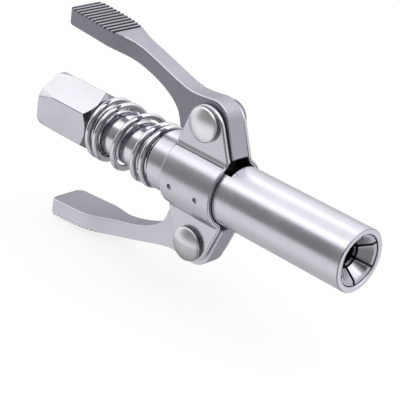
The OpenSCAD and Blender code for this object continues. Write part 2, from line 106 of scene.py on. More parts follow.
class CouplerSizes(bpy.types.PropertyGroup):
    """Sizes of the fine forms that the solids leave plain."""

    columns: bpy.props.IntProperty(
        name="Columns", description="Facets round a turned piece", default=160, min=24, max=400
    )
    edge: metres("Pressed edge", "Rounding of the pressed sheet's edges", 0.6)
    cast_edge: metres("Cast edge", "Rounding of the lever's edges", 0.45)
    fine_edge: metres("Fine edge", "Rounding of the jaws' ground edges", 0.12)
    hex_edge: metres("Hexagon edge", "Rounding of the hexagon's edges", 0.3)
    thread_pitch: metres("Thread pitch", "Pitch of the inlet's pipe thread", 0.94)
    thread_depth: metres("Thread depth", "Depth of the inlet's pipe thread", 0.45)
    wire: metres("Return spring wire", "Wire of the return spring", 1.9)
    turns: bpy.props.FloatProperty(
        name="Return spring turns", description="Turns of the return spring", default=5.0, min=2.0, max=12.0
    )
    closed_turns: bpy.props.FloatProperty(
        name="Closed turns", description="Turns that lie together at each end", default=1.2, min=0.0, max=2.0
    )
    valve_wire: metres("Valve spring wire", "Wire of the two small springs", 0.5)
    valve_turns: bpy.props.FloatProperty(
        name="Valve spring turns", description="Turns of the two small springs", default=4.0, min=2.0,
        max=12.0
    )


class CouplerFinish(bpy.types.PropertyGroup):
    """Colours and gloss of the finishes."""

    satin: colour("Satin plating", "Sleeve", (0.75, 0.74, 0.81))
    satin_gloss: share("Satin roughness", "Roughness of the sleeve", 0.26)
    pressed: colour("Pressed plating", "Bracket", (0.71, 0.7, 0.77))
    bright: colour("Bright plating", "Hexagon", (0.84, 0.83, 0.89))
    # Painted shade: the hexagon's flats beside the levers take this darker copy of its plating.
    bright_shaded_flank: colour("Bright flank", "Faces of the hexagon beside the levers", (0.66, 0.65, 0.715))
    bright_gloss: share("Bright roughness", "Roughness of the hexagon", 0.12)
    stem: colour("Stem plating", "Stem in the return spring", (0.82, 0.81, 0.87))
    coil: colour("Spring plating", "Return spring", (0.8, 0.79, 0.85))
    # The two levers have one plating. Their tints differ, and their flanks are painted darker on the upper lever
    # and lighter on the lower: painted light and shade.
    upper: colour("Upper lever", "Matt plating of the upper lever", (0.47, 0.46, 0.52))
    upper_shaded_flank: colour("Upper flank", "Flanks of the upper lever", (0.34, 0.333, 0.38))
    lower: colour("Lower lever", "Matt plating of the lower lever", (0.4, 0.392, 0.445))
    lower_lit_flank: colour("Lower flank", "Flanks of the lower lever", (0.79, 0.775, 0.85))
    # Painted highlight: this lighter colour goes on the rounded edges of the levers and the feet of the upper
    # ears.
    worn: colour("Worn edges", "Handled edges of the levers and feet of the upper ears", (0.93, 0.92, 0.97))
    # Painted shade: this dark colour goes in grooves, seams, slits and the bore, on rims and edges, and on shaded
    # sides.
    recess: colour("Recesses", "Grooves, seams, rims and shaded sides", (0.06, 0.058, 0.066))
    cast_gloss: share("Lever roughness", "Roughness of the levers", 0.46)
    rivet: colour("Rivets", "Plating of the rivets", (0.96, 0.95, 0.99))
    rivet_gloss: share("Rivet roughness", "Roughness of the rivets", 0.3)
    jaw: colour("Jaws", "Polished steel of the jaws", (0.56, 0.55, 0.61))
    black: colour("Blackened steel", "Grease tube", (0.03, 0.03, 0.032))
    rubber: colour("Rubber", "Face seal", (0.012, 0.012, 0.013))
    brass: colour("Brass", "Seal cup", (0.72, 0.53, 0.22))
    copper: colour("Copper", "Seal washer", (0.74, 0.4, 0.24))
    wire: colour("Spring wire", "Inner springs and jaw ring", (0.45, 0.45, 0.47))


class CouplerStage(bpy.types.PropertyGroup):
    """Camera and light."""

    azimuth: bpy.props.FloatProperty(
        name="Azimuth", description="Camera's turn round the object", default=math.radians(40.929),
        subtype="ANGLE", unit="ROTATION"
    )
    elevation: bpy.props.FloatProperty(
        name="Elevation", description="Camera's height angle", default=math.radians(25.725),
        subtype="ANGLE", unit="ROTATION"
    )
    roll: bpy.props.FloatProperty(
        name="Roll", description="Camera's turn round its own axis", default=math.radians(8.164),
        subtype="ANGLE", unit="ROTATION"
    )
    distance: metres("Distance", "From the camera to its target", 425.6)
    target: bpy.props.FloatVectorProperty(
        name="Target", description="Point in the middle of the picture",
        default=(60.875 * MM, 0.0, -8.096 * MM), size=3, subtype="TRANSLATION", unit="LENGTH"
    )
    lens: bpy.props.FloatProperty(
        name="Lens", description="Focal length on a 36 mm sensor", default=135.44, unit="CAMERA"
    )
    floor_gap: metres("Floor gap", "From the lowest point to the floor", 0.6)
    paper: share("Paper", "How much of the floor shows as plain white, over its shadow", 0.8)
    fill: bpy.props.FloatProperty(name="Fill", description="Light from all round on the floor", default=1.05)
    panel_turn: bpy.props.FloatProperty(
        name="Dark panel", description="Turn of the dark panel that the metal mirrors",
        default=math.radians(15), subtype="ANGLE", unit="ROTATION"
    )
    panel_level: share("Panel level", "Brightness of the dark panel", 0.195)


def new_object(name, data):
    """An object for a mesh, a camera or a lamp, in the scene."""
    obj = bpy.data.objects.new(name, data)
    bpy.context.scene.collection.objects.link(obj)
    return obj


def from_bmesh(name, bm):
    """An object from a bmesh, which is freed."""
    mesh = bpy.data.meshes.new(name)
    bm.to_mesh(mesh)
    bm.free()
    return new_object(name, mesh)


def flatten(obj):
    """Replaces the object's mesh by its evaluated one and drops its modifiers."""
    graph = bpy.context.evaluated_depsgraph_get()
    graph.update()
    mesh = bpy.data.meshes.new_from_object(obj.evaluated_get(graph))
    obj.modifiers.clear()
    old = obj.data
    obj.data = mesh
    mesh.name = obj.name
    bpy.data.meshes.remove(old)
    return obj


def soften(obj, crease=math.radians(35)):
    """Smooth shading that keeps flat faces flat and edges above the crease angle sharp."""
    bm = bmesh.new()
    bm.from_mesh(obj.data)
    for face in bm.faces:
        face.smooth = True
    for edge in bm.edges:
        edge.smooth = len(edge.link_faces) == 2 and edge.calc_face_angle(0.0) < crease
    bm.to_mesh(obj.data)
    bm.free()
    weighted = obj.modifiers.new("Flat faces", "WEIGHTED_NORMAL")
    weighted.mode = "FACE_AREA"
    weighted.keep_sharp = True
    return flatten(obj)


def dress(node, name, width, weigh=None, merge=0.001 * MM, crease=math.radians(38)):
    """A copy of a node's solid with rounded edges, each as round as weigh says, from 0 to 1.

    Points closer than merge become one."""
    bm = bmesh.new()
    bm.from_mesh(frame["nodes"][node].data)
    bmesh.ops.remove_doubles(bm, verts=bm.verts, dist=merge)
    bmesh.ops.dissolve_degenerate(bm, edges=bm.edges, dist=1e-5)
    bmesh.ops.dissolve_limit(bm, angle_limit=math.radians(0.4), verts=bm.verts, edges=bm.edges)
    bmesh.ops.recalc_face_normals(bm, faces=bm.faces)
    weight = bm.edges.layers.float.new("bevel_weight_edge")
    for edge in bm.edges:
        if len(edge.link_faces) == 2 and edge.calc_face_angle(0.0) > crease:
            edge[weight] = weigh(edge) if weigh else 1.0
    obj = from_bmesh(name, bm)
    bevel = obj.modifiers.new("Edges", "BEVEL")
    bevel.width = width
    bevel.segments = 4
    bevel.limit_method = "WEIGHT"
    bevel.use_clamp_overlap = weigh is None
    bevel.loop_slide = False
    bevel.miter_outer = "MITER_ARC"
    flatten(obj)
    return soften(obj)


def rounded(points, radius, steps=4):
    """A line of points with its inner corners rounded."""
    out = [points[0]]
    for i in range(1, len(points) - 1):
        p = Vector(points[i])
        a, b = Vector(points[i - 1]) - p, Vector(points[i + 1]) - p
        half = a.angle(b) / 2
        back = min(radius / math.tan(half), 0.45 * a.length, 0.45 * b.length)
        r = back * math.tan(half)
        middle = p + (a.normalized() + b.normalized()).normalized() * (r / math.sin(half))
        start, end = p + a.normalized() * back - middle, p + b.normalized() * back - middle
        turn = start.angle_signed(end)
        for k in range(steps + 1):
            angle = -turn * k / steps
            c, s = math.cos(angle), math.sin(angle)
            out.append((middle.x + c * start.x - s * start.y, middle.y + s * start.x + c * start.y))
    out.append(points[-1])
    return out


def grid(name, rings, closed):
    """A mesh through rings of points: each ring is closed, and the row of rings is closed if asked."""
    bm = bmesh.new()
    rows = [[bm.verts.new(p) for p in ring] for ring in rings]
    count = len(rows[0])
    pairs = list(zip(rows, rows[1:])) + ([(rows[-1], rows[0])] if closed else [])
    for first, second in pairs:
        for k in range(count):
            n = (k + 1) % count
            bm.faces.new((first[k], first[n], second[n], second[k]))
    bmesh.ops.remove_doubles(bm, verts=bm.verts, dist=1e-7)
    bmesh.ops.recalc_face_normals(bm, faces=bm.faces)
    return from_bmesh(name, bm)


def around(x, r, angle):
    """A point at a place along the axis, a radius and an angle from +Y to +Z."""
    return (x, r * math.cos(angle), r * math.sin(angle))


def turned(name, profile, columns, closed=True):
    """A turned piece from a profile of places along the axis and radii."""
    angles = [2 * math.pi * k / columns for k in range(columns)]
    return grid(name, [[around(x, r, a) for a in angles] for x, r in profile], closed)


def cut(obj, cutters):
    """Takes the cutters out of the object."""
    for cutter in cutters:
        step = obj.modifiers.new("Cut", "BOOLEAN")
        step.operation = "DIFFERENCE"
        step.solver = "EXACT"
        step.object = cutter
    flatten(obj)
    for cutter in cutters:
        bpy.data.objects.remove(cutter)


def block(name, low, high):
    """A box between two corners, as a cutter."""
    bm = bmesh.new()
    bmesh.ops.create_cube(bm, size=1.0)
    low, high = Vector(low), Vector(high)
    for vert in bm.verts:
        vert.co = Vector(low[i] + (vert.co[i] + 0.5) * (high[i] - low[i]) for i in range(3))
    return from_bmesh(name, bm)


def pivot(side):
    """The place of a lever's pivot."""
    joint = next(j for j in frame["joints"] if j["name"] == side + "_lever_squeeze")
    return Vector(joint["pos_m"])


def ear_face():
    """How far the outer faces of the ears lie from the middle plane."""
    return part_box("bracket_far")[0].y + SHEET


def in_plane(p, q):
    """Distance of two points, seen from the side."""
    return math.hypot(p.x - q.x, p.z - q.z)


def climb(value, low, high):
    """From 0 at low to 1 at high, and level beyond them."""
    return min(1.0, max(0.0, (value - low) / (high - low)))


def true_round(obj, radius):
    """Shades the face at a radius about the X axis as a true cylinder."""
    mesh = obj.data
    normals = [Vector(corner.vector) for corner in mesh.corner_normals]
    for face in mesh.polygons:
        for k in face.loop_indices:
            p = mesh.vertices[mesh.loops[k].vertex_index].co
            out = Vector((0.0, p.y, p.z))
            if abs(out.length - radius) < 0.04 * MM and face.normal.angle(out) < math.radians(12):
                normals[k] = out.normalized()
    mesh.normals_split_custom_set(normals)


def mark(obj, attribute, value):
    """Writes a value for each face, which a material reads."""
    layer = obj.data.attributes.new(attribute, "FLOAT", "FACE")
    for face in obj.data.polygons:
        layer.data[face.index].value = float(value(face))


def put(obj, body, nodes, slot, material):
    """Gives a piece its material, its body and the nodes that it stands for."""
    obj.data.materials.clear()
    obj.data.materials.append(bpy.data.materials[material])
    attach(obj, body)
    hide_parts(*nodes)


class Nodes:
    """Short calls for building a node tree."""

    def __init__(self, tree):
        self.tree = tree

    def add(self, kind, inputs=(), **settings):
        """A new node with its settings, and with its inputs linked or set."""
        node = self.tree.nodes.new(kind)
        for key, value in settings.items():
            setattr(node, key, value)
        for key, value in dict(inputs).items():
            socket = node.inputs[key]
            if isinstance(value, bpy.types.NodeSocket):
                self.link(value, socket)
            else:
                socket.default_value = value
        return node

    def link(self, output, socket):
        """Joins an output to an input."""
        self.tree.links.new(output, socket)

    def math(self, operation, a, b=0.0, c=0.0):
        """The result of a calculation."""
        return self.add("ShaderNodeMath", {0: a, 1: b, 2: c}, operation=operation).outputs[0]

    def blend(self, a, b, part):
        """A part of the first value and the rest of the second."""
        return self.math("MULTIPLY_ADD", a, part, self.math("MULTIPLY", b, 1.0 - part))

    def spread(self, noise, low, high):
        """The middle values of a noise, spread from low to high."""
        return self.add("ShaderNodeMapRange", {
            "Value": noise, "From Min": 0.3, "From Max": 0.7, "To Min": low, "To Max": high}).outputs[0]

    def grey(self, value):
        """A grey of the brightness that a value gives."""
        return self.add("ShaderNodeCombineColor", {"Red": value, "Green": value, "Blue": value}).outputs[0]

    def mix(self, part, a, b, **settings):
        """The colour between two colours."""
        node = self.add("ShaderNodeMix", {"Factor": part, "A": a, "B": b}, data_type="RGBA", **settings)
        return node.outputs["Result"]


def interface(tree, inputs, outputs):
    """Declares a group's sockets. Inputs are name, type and default; outputs are name and type."""
    for name, kind, default in inputs:
        socket = tree.interface.new_socket(name, in_out="INPUT", socket_type=kind)
        if default is not None:
            socket.default_value = default
    for name, kind in outputs:
        tree.interface.new_socket(name, in_out="OUTPUT", socket_type=kind)
    return tree.nodes.new("NodeGroupInput"), tree.nodes.new("NodeGroupOutput")


def coil_tree():
    """Geometry nodes that wind a coil along X, with turns that lie together at its ends."""
    tree = bpy.data.node_groups.new("Wound Coil", "GeometryNodeTree")
    n = Nodes(tree)
    real, whole = "NodeSocketFloat", "NodeSocketInt"
    given, result = interface(tree, [
        ("Geometry", "NodeSocketGeometry", None), ("Start", real, 0.0), ("Length", real, 0.02),
        ("Coil Radius", real, 0.008), ("Wire Radius", real, 0.001), ("Turns", real, 5.0),
        ("Closed Turns", real, 1.0), ("Closed Pitch", real, 0.002), ("Ease", real, 0.3),
        ("Start Angle", real, 0.0), ("Hand", real, 1.0), ("Points", whole, 320), ("Sides", whole, 20),
        ("Material", "NodeSocketMaterial", None),
    ], [("Geometry", "NodeSocketGeometry")])
    i = given.outputs
    line = n.add("GeometryNodeCurvePrimitiveLine")
    fine = n.add("GeometryNodeResampleCurve", {"Curve": line.outputs[0], "Count": i["Points"]})
    index = n.add("GeometryNodeInputIndex").outputs[0]
    along = n.math("DIVIDE", index, n.math("SUBTRACT", i["Points"], 1.0))
    turn = n.math("MULTIPLY", along, i["Turns"])
    open_turns = n.math("MULTIPLY_ADD", i["Closed Turns"], -2.0, i["Turns"])
    part = n.math("DIVIDE", n.math("SUBTRACT", turn, i["Closed Turns"]), open_turns)
    part = n.math("MINIMUM", n.math("MAXIMUM", part, 0.0), 1.0)
    wave = n.math("MULTIPLY", n.math("SINE", n.math("MULTIPLY", part, 2 * math.pi)), i["Ease"])
    eased = n.math("SUBTRACT", part, n.math("DIVIDE", wave, 2 * math.pi))
    stretch = n.math("SUBTRACT", i["Length"], n.math("MULTIPLY", i["Closed Pitch"], i["Turns"]))
    even = n.math("MULTIPLY_ADD", turn, i["Closed Pitch"], i["Start"])
    place = n.math("MULTIPLY_ADD", stretch, eased, even)
    angle = n.math("MULTIPLY_ADD", n.math("MULTIPLY", turn, 2 * math.pi), i["Hand"], i["Start Angle"])
    where = n.add("ShaderNodeCombineXYZ", {
        "X": place,
        "Y": n.math("MULTIPLY", n.math("COSINE", angle), i["Coil Radius"]),
        "Z": n.math("MULTIPLY", n.math("SINE", angle), i["Coil Radius"]),
    })
    wound = n.add("GeometryNodeSetPosition", {"Geometry": fine.outputs[0], "Position": where.outputs[0]})
    wire = n.add("GeometryNodeCurvePrimitiveCircle", {"Resolution": i["Sides"], "Radius": i["Wire Radius"]})
    tube = n.add("GeometryNodeCurveToMesh", {
        "Curve": wound.outputs[0], "Profile Curve": wire.outputs[0], "Fill Caps": True
    })
    solid = n.add("GeometryNodeRealizeInstances", {"Geometry": tube.outputs[0]})
    coated = n.add("GeometryNodeSetMaterial", {"Geometry": solid.outputs[0], "Material": i["Material"]})
    n.link(coated.outputs[0], result.inputs["Geometry"])
    return tree


def grow(name, tree, values):
    """A plain mesh grown by a geometry node tree, with its inputs set by name."""
    obj = new_object(name, bpy.data.meshes.new(name))
    step = obj.modifiers.new("Grow", "NODES")
    step.node_group = tree
    for item in tree.interface.items_tree:
        if item.item_type == "SOCKET" and item.in_out == "INPUT" and item.name in values:
            step[item.identifier] = values[item.name]
    flatten(obj)
    if not obj.data.polygons:
        raise RuntimeError(name + " grew nothing")
    return soften(obj)


def turning_group():
    """Makes a shader group: fine lines left by turning, as a height and as a change of tone."""
    tree = bpy.data.node_groups.new("Turning Lines", "ShaderNodeTree")
    n = Nodes(tree)
    given, result = interface(tree, [
        ("Vector", "NodeSocketVector", None), ("Density", "NodeSocketFloat", 4000.0),
        ("Streak", "NodeSocketFloat", 0.02),
    ], [("Height", "NodeSocketFloat"), ("Tone", "NodeSocketFloat")])
    density = given.outputs["Density"]
    across = n.math("MULTIPLY", density, given.outputs["Streak"])
    stretch = n.add("ShaderNodeCombineXYZ", {"X": density, "Y": across, "Z": across})
    spread = n.add("ShaderNodeVectorMath", {0: given.outputs["Vector"], 1: stretch.outputs[0]},
                   operation="MULTIPLY")
    fine = n.add("ShaderNodeTexNoise", {"Vector": spread.outputs[0], "Scale": 1.0, "Detail": 3.0,
                                        "Roughness": 0.6})
    slow = n.add("ShaderNodeTexNoise", {"Vector": spread.outputs[0], "Scale": 0.12, "Detail": 2.0})
    n.link(fine.outputs["Fac"], result.inputs["Height"])
    n.link(n.blend(slow.outputs["Fac"], fine.outputs["Fac"], 0.5), result.inputs["Tone"])


def smudge_group():
    """Makes a shader group: the uneven clouds and specks of a plated or handled surface."""
    tree = bpy.data.node_groups.new("Smudges", "ShaderNodeTree")
    n = Nodes(tree)
    given, result = interface(tree, [
        ("Vector", "NodeSocketVector", None), ("Scale", "NodeSocketFloat", 90.0),
    ], [("Cloud", "NodeSocketFloat"), ("Speck", "NodeSocketFloat")])
    vector, scale = given.outputs["Vector"], given.outputs["Scale"]
    cloud = n.add("ShaderNodeTexNoise", {"Vector": vector, "Scale": scale, "Detail": 5.0, "Roughness": 0.55,
                                         "Distortion": 0.4})
    fine = n.add("ShaderNodeTexNoise", {"Vector": vector, "Scale": n.math("MULTIPLY", scale, 24.0),
                                        "Detail": 2.0})
    n.link(cloud.outputs["Fac"], result.inputs["Cloud"])
    n.link(fine.outputs["Fac"], result.inputs["Speck"])


def grain_group():
    """Makes a shader group: the small lumps of a cast and blasted surface."""
    tree = bpy.data.node_groups.new("Cast Grain", "ShaderNodeTree")
    n = Nodes(tree)
    given, result = interface(tree, [
        ("Vector", "NodeSocketVector", None), ("Scale", "NodeSocketFloat", 1800.0),
    ], [("Height", "NodeSocketFloat"), ("Tone", "NodeSocketFloat")])
    vector, scale = given.outputs["Vector"], given.outputs["Scale"]
    lumps = n.add("ShaderNodeTexVoronoi", {"Vector": vector, "Scale": scale}, feature="SMOOTH_F1")
    dust = n.add("ShaderNodeTexNoise", {"Vector": vector, "Scale": n.math("MULTIPLY", scale, 0.6),
                                        "Detail": 4.0, "Roughness": 0.65})
    wide = n.add("ShaderNodeTexNoise", {"Vector": vector, "Scale": n.math("MULTIPLY", scale, 0.04),
                                        "Detail": 3.0})
    height = n.math("MULTIPLY_ADD", lumps.outputs["Distance"], 0.5, dust.outputs["Fac"])
    n.link(height, result.inputs["Height"])
    n.link(n.blend(wide.outputs["Fac"], dust.outputs["Fac"], 0.7), result.inputs["Tone"])


def metal(name, tint, roughness, lines=0.0, grain=0.0, rise=0.04, spread=0.05, depth=0.06, metallic=1.0,
          **marks):
    """Makes a material with turning lines or cast grain, uneven gloss and a slight change of colour.

    Each of the marks names an attribute of the mesh, and the colour that replaces the tint where it is 1."""
    material = bpy.data.materials.new(name)
    material.use_nodes = True
    n = Nodes(material.node_tree)
    shader = material.node_tree.nodes["Principled BSDF"]
    shader.inputs["Metallic"].default_value = metallic
    groups = bpy.data.node_groups
    coords = n.add("ShaderNodeTexCoord").outputs["Object"]
    smudge = n.add("ShaderNodeGroup", {"Vector": coords}, node_tree=groups["Smudges"])
    surface = "Cast Grain" if grain else "Turning Lines"
    relief = n.add("ShaderNodeGroup", {"Vector": coords}, node_tree=groups[surface])
    tone = n.blend(relief.outputs["Tone"], smudge.outputs["Cloud"], 0.5)
    shade = n.grey(n.spread(tone, 1.0 - depth, 1.0 + depth * 0.6))
    paint = (*tint, 1.0)
    for attribute, other in marks.items():
        here = n.add("ShaderNodeAttribute", attribute_name=attribute).outputs["Fac"]
        paint = n.mix(here, paint, (*other, 1.0))
    n.link(n.mix(1.0, paint, shade, blend_type="MULTIPLY"), shader.inputs["Base Color"])
    dull = n.blend(smudge.outputs["Speck"], smudge.outputs["Cloud"], 0.3)
    gloss = n.spread(dull, max(0.02, roughness - spread), roughness + spread)
    n.link(gloss, shader.inputs["Roughness"])
    bump = n.add("ShaderNodeBump", {"Strength": grain or lines, "Distance": rise * MM,
                                    "Height": relief.outputs["Height"]})
    n.link(bump.outputs[0], shader.inputs["Normal"])


class COUPLER_OT_materials(bpy.types.Operator):
    """Makes the shared shader groups and the materials"""

    bl_idname = "coupler.materials"
    bl_label = "Materials"

    def execute(self, context):
        f = context.scene.coupler_finish
        turning_group()
        smudge_group()
        grain_group()
        metal("satin_plate", f.satin, f.satin_gloss, lines=0.1, recess=f.recess)
        metal("pressed_plate", f.pressed, f.satin_gloss, lines=0.05, worn=f.worn, recess=f.recess)
        metal("bright_plate", f.bright, f.bright_gloss, grain=0.04, depth=0.1, flank=f.bright_shaded_flank,
              recess=f.recess)
        metal("stem_plate", f.stem, 0.14, lines=0.1, spread=0.03, depth=0.03)
        metal("coil_plate", f.coil, 0.08, spread=0.02, depth=0.03, recess=f.recess)
        # The two lever materials are lit and shaded copies of one plating: painted light and shade.
        metal("upper_plate", f.upper, f.cast_gloss, grain=0.8, rise=0.12, depth=0.12, flank=f.upper_shaded_flank,
              worn=f.worn, recess=f.recess)
        metal("lower_plate", f.lower, f.cast_gloss, grain=0.5, rise=0.08, depth=0.08, flank=f.lower_lit_flank,
              worn=f.worn, recess=f.recess)
        metal("rivet_plate", f.rivet, f.rivet_gloss, grain=0.05, depth=0.03, recess=f.recess)
        metal("jaw_polish", f.jaw, 0.24, lines=0.12, spread=0.04, recess=f.recess)
        metal("black_oxide", f.black, 0.35, lines=0.2)
        metal("turned_brass", f.brass, 0.25, lines=0.2)
        metal("soft_copper", f.copper, 0.3, grain=0.1)
        metal("drawn_wire", f.wire, 0.25, grain=0.1)
        metal("moulded_rubber", f.rubber, 0.55, grain=0.4, metallic=0.0)
        return {"FINISHED"}


class COUPLER_OT_inlet(bpy.types.Operator):
    """Turns the hexagon with its threaded bore and the stem"""

    bl_idname = "coupler.inlet"
    bl_label = "Inlet Body"

    def execute(self, context):
        s = context.scene.coupler_sizes
        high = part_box("inlet_body")[1]
        flat, corner, stem_front = high.y, high.z, high.x
        spring_gap = 0.07 * MM
        length = round((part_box("return_spring")[0].x - spring_gap) / MM, 1) * MM
        rear_r, taper = corner - 0.75 * MM, 7 * MM
        front_r, chamfer = corner - 1.5 * MM, 1.6 * MM
        rear_slope, front_slope = (corner - rear_r) / taper, (corner - front_r) / chamfer
        soft, soft_drop, tip, tip_drop, least_run = 0.12 * MM, 0.01 * MM, 0.15 * MM, 0.06 * MM, 0.4 * MM
        mount = next(m for m in frame["record"]["mounts"] if m["name"] == "inlet_thread")
        bore, deep = mount["dims"]["r_mm"] * MM, mount["dims"]["length_mm"] * MM
        mouth, mouth_depth = bore + s.thread_depth + 0.1 * MM, 0.1 * MM
        thread_start, thread_end = 0.5 * MM, deep - 0.7 * MM
        thread_length, steps_per_turn = thread_end - thread_start, 8
        thread_steps = int(thread_length / s.thread_pitch * steps_per_turn)
        crest, root = 0.096, 0.896
        bore_corner = 0.2 * MM
        passage, passage_lip, passage_end = 1.5 * MM, 0.3 * MM, length - 0.6 * MM
        half_side, edge = math.radians(30), s.hex_edge
        centre = (flat - edge) / math.cos(half_side)
        blend = math.degrees(math.atan2(edge * math.sin(half_side), centre + edge * math.cos(half_side)))
        corner_steps, flat_steps = 3, 14
        on_corner = [blend * k / corner_steps for k in range(-corner_steps, corner_steps + 1)]
        on_flat = [blend + (60 - 2 * blend) * k / flat_steps for k in range(1, flat_steps)]
        angles = [math.radians(30 + 60 * side + a) for side in range(6) for a in on_corner + on_flat]

        def outline(angle):
            """The radius of the hexagon at an angle, with rounded edges between the flats."""
            off = (math.degrees(angle) % 60) - 30
            if abs(off) <= blend + 1e-9:
                a = math.radians(off)
                return centre * math.cos(a) + math.sqrt(max(0.0, edge ** 2 - (centre * math.sin(a)) ** 2))
            return flat / math.cos(math.radians(30 - abs(off)))

        def outside(angle):
            """Places along the axis and radii on the outside, from the front to the inlet."""
            r = outline(angle)
            ahead = length - (r - front_r) / front_slope
            run = max((r - rear_r) / rear_slope, least_run)
            rows = [(length, 0.0), (length, front_r - tip), (length - tip_drop, front_r),
                    (ahead + soft, r - soft * front_slope), (ahead, r - soft_drop), (ahead - soft, r)]
            for x in (run + 4 * soft, run, tip + 0.6 * (run - tip), tip):
                rows.append((x, min(r, rear_r + rear_slope * x)))
            return rows + [(0.0, min(r, rear_r) - tip)]

        def inside(angle):
            """Places along the axis and radii in the thread and the passage, from the inlet inwards."""
            rows = [(0.0, mouth + tip), (mouth_depth, mouth)]
            for k in range(thread_steps + 1):
                x = thread_start + thread_length * k / thread_steps
                phase = (x / s.thread_pitch - angle / (2 * math.pi)) % 1
                groove = climb(abs(2 * phase - 1), crest, root)
                fade = min(1.0, (thread_end - x) / (2 * s.thread_pitch))
                rows.append((x, bore + s.thread_depth * fade * groove))
            return rows + [
                (deep - bore_corner, bore), (deep, bore - bore_corner), (deep, passage + passage_lip),
                (deep + passage_lip, passage), (passage_end, passage), (passage_end, 0.0)]

        def on_edge(face):
            """How dark a face is, as painted shade: the rounded edges between the flats, and the front with its
            chamfer.
            """
            across = math.degrees(math.atan2(face.normal.z, face.normal.y)) % 60
            between = abs(face.normal.x) < 0.05 and 8 < across < 52 and face.center.yz.length > 0.8 * flat
            return 0.75 * (between or (face.normal.x > 0.1 and face.center.x > length - 2 * chamfer))

        columns = [(outside(a) + inside(a))[::-1] for a in angles]
        rings = [[around(x, r, a) for (x, r), a in zip(row, angles)] for row in zip(*columns)]
        piece = grid("hexagon", rings, False)
        soften(piece, math.radians(60))
        # Painted shade: the flats that face the sides take the darker flank colour.
        mark(piece, "flank", lambda face: climb(abs(face.normal.y), 0.85, 0.95))
        mark(piece, "recess", on_edge)
        put(piece, "inlet", ["inlet_body"], "bright_plating", "bright_plate")
        stem, stem_rear, stem_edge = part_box("thrust_collar")[1].z, length - 0.3 * MM, 0.3 * MM
        profile = [(stem_rear, 0.0), (stem_rear, stem), (stem_front, stem), (stem_front, 0.0)]
        rod = turned("stem", rounded(profile, stem_edge), s.columns, False)
        soften(rod)
        put(rod, "inlet", ["inlet_body"], "bright_plating", "stem_plate")
        return {"FINISHED"}


class COUPLER_OT_springs(bpy.types.Operator):
    """Winds the return spring and the two small valve springs"""

    bl_idname = "coupler.springs"
    bl_label = "Springs"

    def execute(self, context):
        s = context.scene.coupler_sizes
        tree = coil_tree()
        closed_pitch, points_per_turn, wire_sides = 1.06, 72, 24

        def in_shade(face):
            """How dark a face of a coil is: the side towards the nose, and the side towards the axis."""
            out = Vector((0.0, face.center.y, face.center.z)).normalized()
            return 0.6 * max(climb(face.normal.x, 0.775, 0.9), face.normal.dot(out) < -0.1)

        rows = [("return_coil", "return_spring", "sleeve_slide", s.wire, s.turns, s.closed_turns, 0.3,
                 math.radians(349), -1.0, "bright_plating", "coil_plate", False),
                ("seal_coil", "seal_spring", "seal_float", s.valve_wire, s.valve_turns, 0.0, 0.0, 0.0, 1.0,
                 "spring_steel", "drawn_wire", False),
                ("check_coil", "check_spring", "check_lift", s.valve_wire, s.valve_turns, 0.0, 0.0, 0.0, 1.0,
                 "spring_steel", "drawn_wire", True)]
        for name, node, joint, wire, turns, closed, ease, start, hand, slot, material, front in rows:
            low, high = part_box(node)
            length = high.x - low.x
            piece = grow(name, tree, {
                "Start": low.x + wire / 2, "Length": length - wire, "Coil Radius": high.z - wire / 2,
                "Wire Radius": wire / 2, "Turns": turns, "Closed Turns": closed,
                "Closed Pitch": wire * closed_pitch if closed else (length - wire) / turns, "Ease": ease,
                "Start Angle": start, "Hand": hand, "Points": int(turns * points_per_turn),
                "Sides": wire_sides, "Material": bpy.data.materials[material],
            })
            mark(piece, "recess", in_shade)
            put(piece, "inlet", [node], slot, material)
            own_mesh(piece)
        return {"FINISHED"}


class COUPLER_OT_sleeve(bpy.types.Operator):
    """Turns the nose tube and cuts its windows"""

    bl_idname = "coupler.sleeve"
    bl_label = "Outer Sleeve"

    def execute(self, context):
        s = context.scene.coupler_sizes
        low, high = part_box("outer_sleeve")
        clearance = 0.1 * MM
        r, bore = high.z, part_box("thrust_collar")[1].z + clearance
        mouth, throat, edge = r - 1.55 * MM, 6.1 * MM, 0.35 * MM
        funnel_end, throat_end, bore_end = high.x - 4.6 * MM, high.x - 9.8 * MM, high.x - 11 * MM
        seam = low.x + 5 * MM
        profile = rounded([
            (seam, bore), (low.x, bore), (low.x, r), (high.x, r), (high.x, mouth), (funnel_end, throat),
            (throat_end, throat), (bore_end, bore), (seam + MM, bore),
        ], edge, 5)
        piece = turned("nose_tube", profile, s.columns)
        front, length, half_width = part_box("bracket_near")[1].x + 2.2 * MM, 14.7 * MM, 5.25 * MM
        inner, outer = 4 * MM, 14 * MM
        windows = [block("window", (front - length, -half_width, side * inner),
                         (front, half_width, side * outer)) for side in (1, -1)]
        cut(piece, windows)
        soften(piece)

        def in_shade(face):
            """How dark a face is: the bore, and the outer edge of the nose."""
            radius = face.center.yz.length
            inside = radius < mouth - 0.1 * MM and face.center.x < high.x - 0.5 * MM
            rim = 0.3 < face.normal.x < 0.95 and radius > r - MM
            return max(0.9 * inside, 0.5 * rim)

        mark(piece, "recess", in_shade)
        put(piece, "sleeve", ["outer_sleeve"], "satin_plating", "satin_plate")
        return {"FINISHED"}


